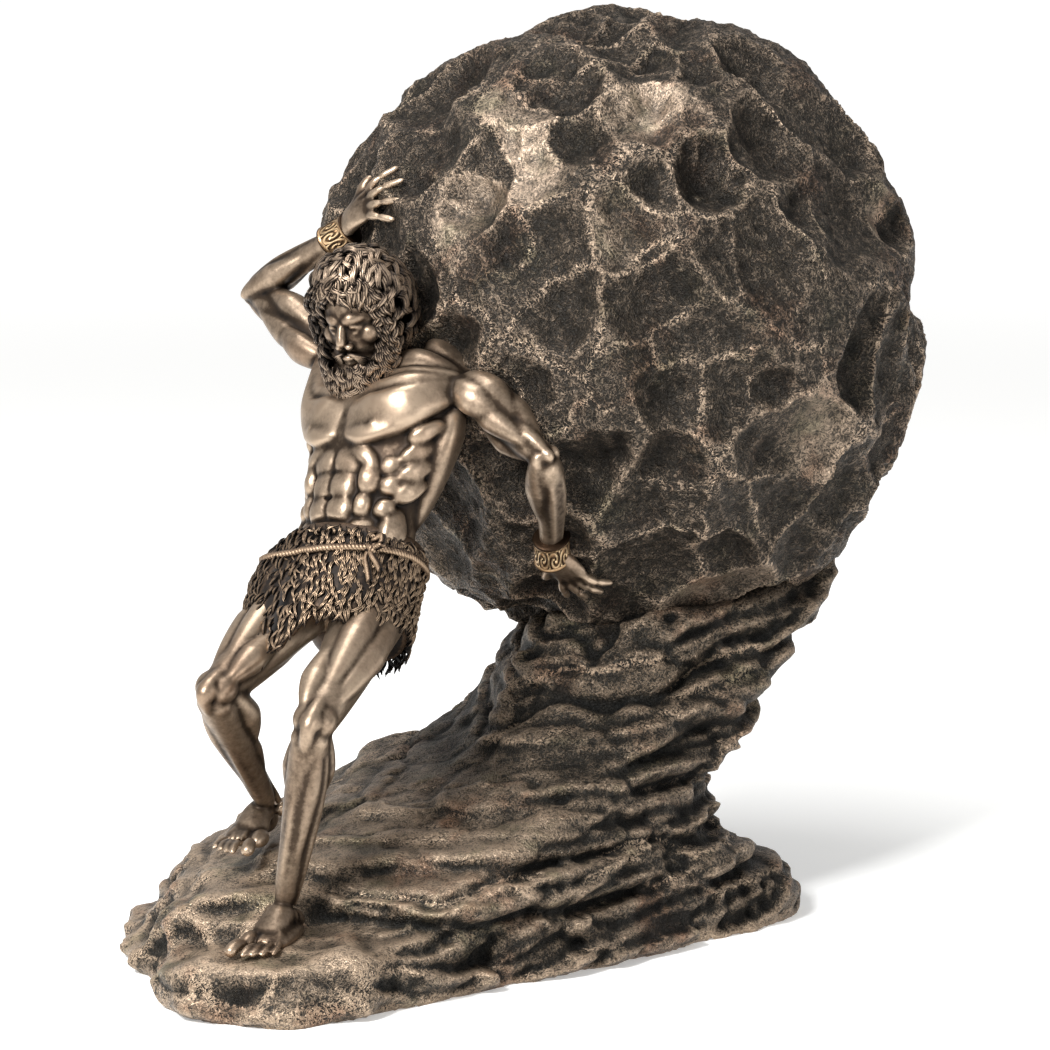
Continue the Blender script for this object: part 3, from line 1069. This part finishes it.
def patina(name, look):
    # Cold-cast bronze: dark wash left in the hollows, the crests rubbed back to pale metal
    material = bpy.data.materials.new(name)
    material.use_nodes = True
    tree = material.node_tree
    shader = tree.nodes["Principled BSDF"]
    place = addNode(tree, "TexCoord").outputs["Object"]
    relief = addNode(tree, "Attribute", {"attribute_name": "relief"}).outputs["Fac"]
    hollow = addNode(tree, "Attribute", {"attribute_name": "hollow"}).outputs["Fac"]
    edge = addNode(tree, "Attribute", {"attribute_name": "edge"}).outputs["Fac"]
    worn = addNode(tree, "Attribute", {"attribute_name": "worn"}).outputs["Fac"]

    def maths(kind, *values):
        return addNode(tree, "Math", {"operation": kind}, dict(enumerate(values))).outputs[0]

    bump = None
    height = None
    for size, depth, detail, swirl, crease in look["grain"]:
        grain = addNode(tree, "TexNoise", None, {
            "Vector": place, "Scale": 1000.0 / size, "Detail": detail, "Roughness": 0.55,
            "Distortion": swirl}).outputs["Fac"]
        if crease:  # thin crests like wrinkled hide
            away = maths("ABSOLUTE", maths("SUBTRACT", grain, 0.5))
            grain = maths("SUBTRACT", 1.0, maths("MINIMUM", maths("MULTIPLY", away, crease), 1.0))
        height = grain if height is None else maths("MULTIPLY_ADD", grain, 0.4,
                                                    maths("MULTIPLY", height, 0.6))
        calm = maths("MULTIPLY_ADD", worn, -0.75, 1.0)
        inputs = {"Height": grain, "Strength": calm, "Distance": depth * mm}
        if bump:
            inputs["Normal"] = bump
        bump = addNode(tree, "Bump", None, inputs).outputs["Normal"]
    lines = maths("MULTIPLY", maths("SUBTRACT", height, 0.46), maths("MULTIPLY_ADD", hollow, 1.4, 0.3))
    dust = maths("MULTIPLY_ADD", lines, look["dust"], relief)
    dust = maths("MULTIPLY_ADD", maths("SUBTRACT", hollow, 0.5), look["macro"], dust)
    dust = maths("MULTIPLY_ADD", worn, look["worn"], dust)
    broken = addNode(tree, "MapRange", None, {
        "Value": height, "From Min": 0.35, "From Max": 0.65,
        "To Min": 0.0, "To Max": look["edge"]}).outputs[0]
    total = maths("MULTIPLY_ADD", edge, broken, dust)
    ramp = addNode(tree, "ValToRGB", None, {"Fac": total})
    stops = ramp.color_ramp.elements
    for index, (spot, code) in enumerate(look["ramp"]):
        stop = stops[index] if index < 2 else stops.new(spot)
        stop.position = spot
        stop.color = linear(code)
    colour = ramp.outputs["Color"]
    for size, low, high, code, amount in look["tints"]:
        cloud = addNode(tree, "TexNoise", None, {
            "Vector": place, "Scale": 1000.0 / size, "Detail": 4.0, "Roughness": 0.6}).outputs["Fac"]
        share = addNode(tree, "MapRange", None, {
            "Value": cloud, "From Min": low, "From Max": high, "To Min": 0.0, "To Max": amount}).outputs[0]
        colour = addNode(tree, "Mix", {"data_type": "RGBA", "blend_type": "MULTIPLY"}, {
            0: share, 6: colour, 7: linear(code)}).outputs[2]
    shade = addNode(tree, "MapRange", None, {
        "Value": hollow, "From Min": 0.0, "From Max": 0.5, "To Min": look["deep"], "To Max": 0.0}).outputs[0]
    colour = addNode(tree, "Mix", {"data_type": "RGBA", "blend_type": "MIX"}, {
        0: shade, 6: colour, 7: linear(look["ramp"][0][1])}).outputs[2]
    rough = addNode(tree, "MapRange", None, {
        "Value": total, "From Min": 0.3, "From Max": 0.8,
        "To Min": look["rough"][0], "To Max": look["rough"][1]}).outputs[0]
    tree.links.new(colour, shader.inputs["Base Color"])
    tree.links.new(rough, shader.inputs["Roughness"])
    tree.links.new(bump, shader.inputs["Normal"])
    shader.inputs["Metallic"].default_value = look["metal"]
    return material


# Satin cold-cast bronze, worked smooth: a soft sheen on each muscle, dark only in the furrows
skinLook = {
    "grain": [(2.2, 0.10, 3.0, 0.3, 0.0), (0.9, 0.03, 2.0, 0.0,
                                           0.0)], "dust": 0.35, "worn": 0.22, "edge": 0.0,
    "macro": 0.25, "metal": 0.85, "rough": (0.55, 0.37), "deep": 0.92,
    "ramp": [(0.22, "#110c09"), (0.5, "#403429"), (0.84, "#a8947f")],
    "tints": [(26.0, 0.46, 0.7, "#9c8576", 0.6)],
}
# The same resin cast from hewn stone: dull dark hollows, wrinkled ridges rubbed pale
boulderLook = {
    "grain": [(2.0, 0.55, 1.0, 1.6, 8.0), (1.0, 0.25, 0.6, 1.0, 6.0)], "dust": 0.4, "worn": 0.25, "edge": 0.9,
    "macro": 0.1, "metal": 0.65, "rough": (0.6, 0.4), "deep": 0.45,
    "ramp": [(0.2, "#0d0c0a"), (0.52, "#322c25"), (1.0, "#ad9883")],
    "tints": [(20.0, 0.54, 0.68, "#c9a490", 0.55), (15.0, 0.54, 0.68, "#a3b3a2", 0.55)],
}
# Cast from layered rock: near-black recesses under pale rubbed lips, greenish and reddish clouds
rockLook = {
    "grain": [(1.7, 0.50, 1.5, 1.4, 7.0), (0.8, 0.25, 0.8, 0.8,
                                           6.0)], "dust": 0.34, "worn": 0.22, "edge": 1.3,
    "macro": 0.6, "metal": 0.65, "rough": (0.6, 0.4), "deep": 0.8,
    "ramp": [(0.2, "#0b0b09"), (0.52, "#2a2620"), (1.0, "#a8937d")],
    "tints": [(22.0, 0.54, 0.68, "#cba38e", 0.6), (16.0, 0.54, 0.68, "#9eb19d", 0.6)],
}
# Hair: dark between the locks, each crest rubbed bright
hairLook = {
    "grain": [(0.7, 0.02, 2.0, 0.0, 0.0)], "dust": 0.2, "worn": 0.0, "edge": 0.0,
    "macro": 0.0, "metal": 0.8, "rough": (0.55, 0.38), "deep": 0.3,
    "ramp": [(0.18, "#0b0806"), (0.52, "#352b23"), (0.9, "#b09a84")],
    "tints": [(9.0, 0.5, 0.75, "#b0a090", 0.4)],
}
# Fur: darker than the hair, so that only the tips of the locks catch the light
furLook = {
    "grain": [(0.7, 0.02, 2.0, 0.0, 0.0)], "dust": 0.2, "worn": 0.0, "edge": 0.0,
    "macro": 0.0, "metal": 0.75, "rough": (0.55, 0.4), "deep": 0.3,
    "ramp": [(0.2, "#070504"), (0.55, "#2a2018"), (0.92, "#a58c72")],
    "tints": [(9.0, 0.5, 0.75, "#b0a090", 0.4)],
}
# Hide under the fur: almost black, so that gaps between locks read as shadow
hideLook = {
    "grain": [(0.9, 0.10, 3.0, 0.5, 0.0)], "dust": 0.4, "worn": 0.0, "edge": 0.0,
    "macro": 0.3, "metal": 0.6, "rough": (0.65, 0.55), "deep": 0.5,
    "ramp": [(0.2, "#070504"), (0.6, "#1b140f"), (0.95, "#4a3a2c")],
    "tints": [(9.0, 0.5, 0.75, "#b0a090", 0.4)],
}
# Rope: a mid brown bronze that stands off from the fur
ropeLook = {
    "grain": [(0.7, 0.02, 2.0, 0.0, 0.0)], "dust": 0.2, "worn": 0.0, "edge": 0.0,
    "macro": 0.0, "metal": 0.75, "rough": (0.55, 0.4), "deep": 0.3,
    "ramp": [(0.14, "#0f0b08"), (0.5, "#554436"), (0.88, "#a58d74")],
    "tints": [(9.0, 0.5, 0.75, "#b0a090", 0.4)],
}
# Cuffs: paler gold bronze, bright rims over dark cut scrolls
cuffLook = {
    "grain": [(0.8, 0.02, 2.0, 0.0, 0.0)], "dust": 0.1, "worn": 0.0, "edge": 0.0,
    "macro": 0.0, "metal": 0.9, "rough": (0.45, 0.3), "deep": 0.6,
    "ramp": [(0.25, "#2a1d12"), (0.5, "#8d7052"), (0.75, "#d8bf98")],
    "tints": [(9.0, 0.5, 0.75, "#c0a888", 0.3)],
}


# Pieces

# How relief is read on each piece: rounds of smoothing and depth in mm, for fine marks and for hollows
lockReach = (6, 0.15, 12, 0.4)
reliefReach = {
    "boulder": (4, 1.5, 40, 2.6), "layered_rock": (4, 0.8, 50, 2.8),
    "trunk_and_arms": (8, 0.2, 60, 1.2), "legs": (8, 0.2, 60, 1.2), "head": (8, 0.12, 60, 0.7),
    "hair": lockReach, "beard": lockReach, "fur_locks": lockReach, "rope_belt": lockReach,
    "fur_hide": (6, 0.2, 40, 0.9), "cuffs": (6, 0.12, 20, 0.5),
}
# Castings merged into one skin: voxel in mm, rounds of smoothing, most triangles before the relief
mostTriangles = 195000
castSizes = {
    "layered_rock": (rockSizes["voxel"], 36, 400000), "trunk_and_arms": (0.45, 14, mostTriangles),
    "legs": (0.42, 12, mostTriangles), "head": (0.28, 12, mostTriangles), "fur_hide": (0.9, 3, mostTriangles),
}


def finishPiece(piece, material):
    data = piece.data
    fine, fineScale, coarse, coarseScale = reliefReach[piece.name]
    if "relief" not in data.attributes:
        storeRelief(data, "relief", fine, fineScale)
    storeRelief(data, "hollow", coarse, coarseScale)
    data.shade_smooth()
    data.materials.append(material)
    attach(piece, "root")
    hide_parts("statue")
    print(piece.name, sum(len(p.vertices) - 2 for p in data.polygons), "triangles")
    return piece


def castPiece(name, makers):
    voxel, rounds, most = castSizes[name]
    mass = Mass()
    for maker in makers:
        maker(mass)
    piece = mass.asObject(name)
    data = remeshed(piece, voxel, most)
    points, edges = readMesh(data)
    writePoints(data, relax(points, edges, rounds))
    return piece


def storeValues(data, name, values):
    layer = data.attributes.new(name, "FLOAT", "POINT")
    layer.data.foreach_set("value", np.ascontiguousarray(values, np.float32))


def makeBoulder():
    size = boulderSizes
    cube, faces = form("cube", size["cells"])
    direction = np.tan(cube * np.pi / 4)
    direction /= np.linalg.norm(direction, axis=1)[:, None]
    rise, edge, way, worn = boulderRise(direction)
    near = (edge < size["snap"])[:, None]
    direction = direction * size["radius"] + np.where(near, way, 0.0)  # draws points onto the ridges
    direction /= np.linalg.norm(direction, axis=1)[:, None]
    rise, edge, way, worn = boulderRise(direction)
    spots = direction * (size["radius"] + rise)[:, None]
    rough = 0.6 * crags(spots, 6.0, 31) + 0.5 * crags(spots, 2.4, 37, 1)
    spots += direction * (rough * np.where(worn, 0.3, 1.0) * (1 - 0.6 * np.exp(-edge / 1.2)))[:, None]
    mass = Mass()
    mass.add(boulderCentre() + spots * (1.0, 1.0, size["tall"]), faces)
    piece = mass.asObject("boulder")
    storeValues(piece.data, "edge", np.exp(-edge / 0.4) * np.clip(0.45 + 1.8 * noise(spots, 11.0, 43), 0, 1))
    storeValues(piece.data, "worn", worn * np.clip(noise(spots, 16.0, 41) + 0.4, 0, 1))
    return piece


rockRelief = {
    # cells' length, depth and thickness in mm, and how many
    "slab": (52.0, 36.0, 12.0), "slabCount": 520, "leaf": (28.0, 20.0, 4.8), "leafCount": 1500,
    "jut": 4.0, "crack": 2.2, "voxel": 0.95, "scoops": 150, "scoopCurve": 0.035, "scoopDepth": 1.2,
    "blocks": 900, "blockCurve": 0.11, "upFacing": 0.55, "footClear": 5.0, "flatFoot": 0.6,
    # long slabs that stand out on the front: left end, right end (x, z), half their height, how far
    "slabs": [((-28, 49), (66, 70), 4.0, 3.4), ((-2, 70), (90, 91), 4.5, 3.0),
              ((-72, 48), (50, 47.5), 2.2, 2.6), ((-62, 36), (30, 33), 3.0, 2.2),
              ((-90, 24), (20, 20), 2.4, 2.0), ((20, 22), (70, 25), 4.0, 2.6)],
}
imageRight = np.array((0.766, -0.643, 0.0))
imageBack = np.array((0.643, 0.766, 0.0))


def stratumHeightAt(points):
    # Height along the layers: level at the foot, rising to the right towards the arm's tip
    x, z = points[:, 0], points[:, 2]
    tilt = np.interp(z, (0, 25, 45, 75, 112), (-0.03, 0.04, 0.14, 0.36, 0.43))
    bend = 3.5 * noise(points, 60.0, 71) + 0.6 * noise(points, 15.0, 72)
    arch = -6.0 * ((x + 60.0) / 70.0) ** 2 * np.clip(1 - z / 50.0, 0, 1)
    return z - tilt * (x - 20.0) + bend + arch


def slabCells(points, count, size, seed):
    # Long flat cells lying along the layers: how far each stands out, its upper lip and its border
    rng = np.random.default_rng(seed)
    level = stratumHeightAt(points)
    run, depth = points @ imageRight, points @ imageBack
    place = np.stack((run / size[0], depth / size[1], level / size[2]), axis=1)
    place += noise3(points, 16.0, seed) * (0.3, 0.3, 0.12) + noise3(points, 5.0, seed + 3) * (0.1, 0.1, 0.07)
    seeds = rng.uniform(place.min(0), place.max(0), (count, 3))
    edge, _, owner = lowestBowl(place, seeds, np.zeros(count), np.ones(count))[1:]
    lift = place - seeds[owner]
    tilt = rng.uniform(-1, 1, count)[owner]
    out = rng.uniform(-1, 1, count)[owner]
    return out + 0.5 * tilt * lift[:, 0], np.clip(lift[:, 2], -0.8, 0.8), edge


def strata(points, sideways):
    look = rockRelief
    out, lift, edge = slabCells(points, look["slabCount"], look["slab"], 21)
    push = look["jut"] * (0.75 * out + 1.15 * lift) - look["crack"] * np.exp(-(edge / 0.07) ** 2)
    lip = np.clip((lift - 0.25) / 0.35, 0, 1) * np.exp(-(edge / 0.10) ** 2)
    out, lift, edge = slabCells(points, look["leafCount"], look["leaf"], 22)
    share = np.clip(0.65 + noise(points, 28.0, 78), 0, 1)
    push += share * look["jut"] * (0.2 * out + 0.42 * lift)
    return sideways * push, lip * sideways


def standingSlabs(points, normals):
    # The few long slabs that catch the light on the front
    push = np.zeros(len(points))
    front = np.clip(-normals[:, 1] * 1.5, 0, 1)
    for start, end, half, far in rockRelief["slabs"]:
        run, rise = end[0] - start[0], end[1] - start[1]
        t = (points[:, 0] - start[0]) / run
        offset = points[:, 2] - start[1] - rise * t + 1.6 * noise(points, 12.0, 84)
        body = np.clip(2.2 - 2.2 * np.abs(offset) / (half * 1.3), 0, 1)
        body = body * np.clip(8 * t, 0, 1) * np.clip(8 - 8 * t, 0, 1)
        under = np.exp(-((offset + half * 1.35) / 1.2) ** 2)
        under = under * np.clip(6 * t, 0, 1) * np.clip(6 - 6 * t, 0, 1)
        push += front * (far * body * (1 + 0.3 * offset / half) - 2.6 * under)
    return push


def noseScoops(points):
    # Scooped hollows all over the low nose
    look = rockRelief
    rng = np.random.default_rng(31)
    count = look["scoops"]
    sides = ((-145, -60), (-78, 50), (-4, 42))
    seeds = np.stack([rng.uniform(low, high, count) for low, high in sides], axis=1)
    warped = points + noise3(points, 14.0, 93) * 4.0
    base = rng.uniform(-2.0, 2.0, count)
    scoop, rim = lowestBowl(warped, seeds, base, np.full(count, look["scoopCurve"]))[:2]
    return np.clip((-86 - points[:, 0]) / 16, 0, 1), scoop, rim


def makeRock():
    look = rockRelief
    piece = castPiece("layered_rock", [rock])
    data = piece.data
    points, edges = readMesh(data)
    normals = relax(normalsOf(data), edges, 6)
    normals /= np.linalg.norm(normals, axis=1)[:, None]
    sideways = 1 - look["upFacing"] * np.clip(normals[:, 2], 0, 1) ** 2
    push, lip = strata(points, sideways)
    push += standingSlabs(points, normals)
    blocks = points * (0.55, 0.55, 1.0)
    rng = np.random.default_rng(5)
    count = look["blocks"]
    seeds = rng.uniform(blocks.min(0), blocks.max(0), (count, 3))
    value = lowestBowl(blocks, seeds, rng.uniform(-6, 6, count), np.full(count, look["blockCurve"]))[0]
    push += np.clip(value * 0.35, -2.0, 2.2) * (0.9 - 0.65 * sideways)
    # the low nose is scooped like the boulder, and the pillar under it is lumpy
    nose, scoop, rim = noseScoops(points)
    push = push * (1 - 0.75 * nose) + nose * look["scoopDepth"] * (np.minimum(scoop, 7.0) - 3.0)
    pillar = np.exp(-((points[:, 0] + 30) / 28) ** 2 - ((points[:, 2] - 86) / 18) ** 2)
    lumps = 3.2 * crags(points, 13.0, 97, 2) + 1.8 * noise(points, 5.0, 99)
    push = push * (1 - 0.5 * pillar) + pillar * lumps
    push += 0.8 * crags(points, 9.0, 51) + 0.5 * crags(points, 3.2, 57, 1)
    calm = np.ones(len(points))
    for name in ("toesL", "heelL", "ankleL", "toesR", "heelR"):
        gap = np.linalg.norm((points - joint(name))[:, :2], axis=1)
        calm *= np.clip((gap - look["footClear"]) / 8.0, 0.12, 1) ** np.clip(normals[:, 2] * 3, 0, 1)
    push *= calm
    keep = np.clip(points[:, 2] / 3.0, 0, 1)
    outward = normals * (1.0, 1.0, 0.45)
    moved = points + outward * (push * keep)[:, None]
    moved[:, 2] = np.where(points[:, 2] < look["flatFoot"], 0.0, np.maximum(moved[:, 2], 0.3))
    writePoints(data, moved)
    data = remeshed(piece, look["voxel"], mostTriangles)
    points, edges = readMesh(data)
    points = relax(points, edges, 1)
    points[:, 2] = np.where(points[:, 2] < 0.5, 0.0, points[:, 2])
    writePoints(data, points)
    normals = normalsOf(data)
    nose, scoop, rim = noseScoops(points)
    lip = strata(points, 1 - look["upFacing"] * np.clip(normals[:, 2], 0, 1) ** 2)[1]
    storeValues(data, "edge", np.maximum(0.7 * lip, nose * np.exp(-rim / 0.7)))
    trodden = np.clip((10 - points[:, 0]) / 60, 0, 1)  # the ramp under the feet is rubbed
    storeValues(data, "worn", np.clip(1.6 * normals[:, 2] - 0.5, 0, 1) * trodden)
    return piece


print("boulder")
finishPiece(makeBoulder(), patina("rubbed bronze stone", boulderLook))
print("rock")
finishPiece(makeRock(), patina("rubbed bronze rock", rockLook))
print("figure")
skin = patina("satin bronze skin", skinLook)


def rubbed(piece, spots):
    # The parts of the body that stand to the light are rubbed brightest
    points = readMesh(piece.data)[0]
    gaps = [np.linalg.norm(points - spot, axis=1) / size for spot, size in spots]
    storeValues(piece.data, "worn", np.exp(-np.min(gaps, axis=0) ** 2))
    return piece


chestSpots = [(trunkPoint(0.72, b, 5.0), 19.0) for b in (-4.5, 4.5)]
thighSpots = [(joint("hip" + side) * 0.42 + joint("knee" + side) * 0.58, 24.0) for side in "LR"]
finishPiece(rubbed(castPiece("trunk_and_arms", [torso, arms]), chestSpots), skin)
finishPiece(rubbed(castPiece("legs", [legs]), thighSpots), skin)
finishPiece(castPiece("head", [head]), skin)
print("hair, fur and rope")
hairMetal = patina("dark bronze hair", hairLook)


def loosePiece(name, makers):
    mass = Mass()
    for maker in makers:
        maker(mass)
    piece = mass.asObject(name)
    storeValues(piece.data, "relief", np.concatenate(mass.tones))
    return piece


finishPiece(loosePiece("hair", [hair, hairLine]), hairMetal)
finishPiece(loosePiece("beard", [beard]), hairMetal)
finishPiece(castPiece("fur_hide", [kilt]), patina("dark hide", hideLook))
finishPiece(loosePiece("fur_locks", [fur]), patina("dark bronze fur", furLook))
finishPiece(loosePiece("rope_belt", [rope]), patina("bronze rope", ropeLook))
cuffMass = Mass()
cuffs(cuffMass)
finishPiece(cuffMass.asObject("cuffs"), patina("pale gold bronze", cuffLook))


# Stage

stageSizes = {
    "target": (-19.8, -40.8, 121.7), "back": (-0.6349, -0.7566, 0.1564), "distance": 1150.0, "lens": 140.2,
    "sensor": 36.0, "floor": 15000.0, "near": 900.0, "far": 2600.0,
    "nearGlow": 0.3, "farGlow": 0.64, "sky": 0.5,
}
lights = {  # place and size in mm, power in watts
    "key": ((-950, -300, 850), (330, 330), 26.0),
    "fill": ((100, -1150, 300), (600, 500), 3.0),
    "top": ((-100, 100, 1100), (500, 500), 6.0),
}


def placeCamera():
    data = bpy.data.cameras.new("camera")
    data.lens = stageSizes["lens"]
    data.sensor_width = stageSizes["sensor"]
    camera = bpy.data.objects.new("camera", data)
    back = unit(stageSizes["back"])
    camera.location = (np.array(stageSizes["target"]) + back * stageSizes["distance"]) * mm
    right = unit(np.cross((0, 0, 1), back))
    up = np.cross(back, right)
    camera.rotation_euler = mathutils.Matrix((right, up, back)).transposed().to_euler()
    bpy.context.scene.collection.objects.link(camera)
    bpy.context.scene.camera = camera


def placeFloor():
    mesh = bmesh.new()
    bmesh.ops.create_grid(mesh, x_segments=1, y_segments=1, size=stageSizes["floor"] * mm)
    data = bpy.data.meshes.new("floor")
    mesh.to_mesh(data)
    mesh.free()
    floor = bpy.data.objects.new("floor", data)
    bpy.context.scene.collection.objects.link(floor)
    material = bpy.data.materials.new("pale floor")
    material.use_nodes = True
    tree = material.node_tree
    shader = tree.nodes["Principled BSDF"]
    shader.inputs["Base Color"].default_value = linear("#eeeeec")
    shader.inputs["Roughness"].default_value = 0.8
    shader.inputs["Emission Color"].default_value = linear("#ffffff")
    # The far floor glows more, so that it stays white beyond the lights' reach
    away = addNode(tree, "VectorMath", {"operation": "LENGTH"},
                   {0: addNode(tree, "TexCoord").outputs["Object"]})
    glow = addNode(tree, "MapRange", {"interpolation_type": "SMOOTHSTEP"}, {
        "Value": away.outputs["Value"],
        "From Min": stageSizes["near"] * mm, "From Max": stageSizes["far"] * mm,
        "To Min": stageSizes["nearGlow"], "To Max": stageSizes["farGlow"]})
    tree.links.new(glow.outputs["Result"], shader.inputs["Emission Strength"])
    data.materials.append(material)


def placeLight(name, spot, size, power):
    data = bpy.data.lights.new(name, "AREA")
    data.shape = "RECTANGLE"
    data.size, data.size_y = size[0] * mm, size[1] * mm
    data.energy = power
    light = bpy.data.objects.new(name, data)
    aim = unit(np.array(spot) - np.array(stageSizes["target"]))
    light.location = np.array(spot) * mm
    light.rotation_euler = mathutils.Vector(aim).to_track_quat("Z", "Y").to_euler()
    bpy.context.scene.collection.objects.link(light)


placeCamera()
placeFloor()
for name, (spot, size, power) in lights.items():
    placeLight(name, spot, size, power)
world = bpy.data.worlds.new("studio")
world.use_nodes = True
world.node_tree.nodes["Background"].inputs["Color"].default_value = linear("#ffffff")
world.node_tree.nodes["Background"].inputs["Strength"].default_value = stageSizes["sky"]
bpy.context.scene.world = world
bpy.context.scene.view_settings.view_transform = "Standard"
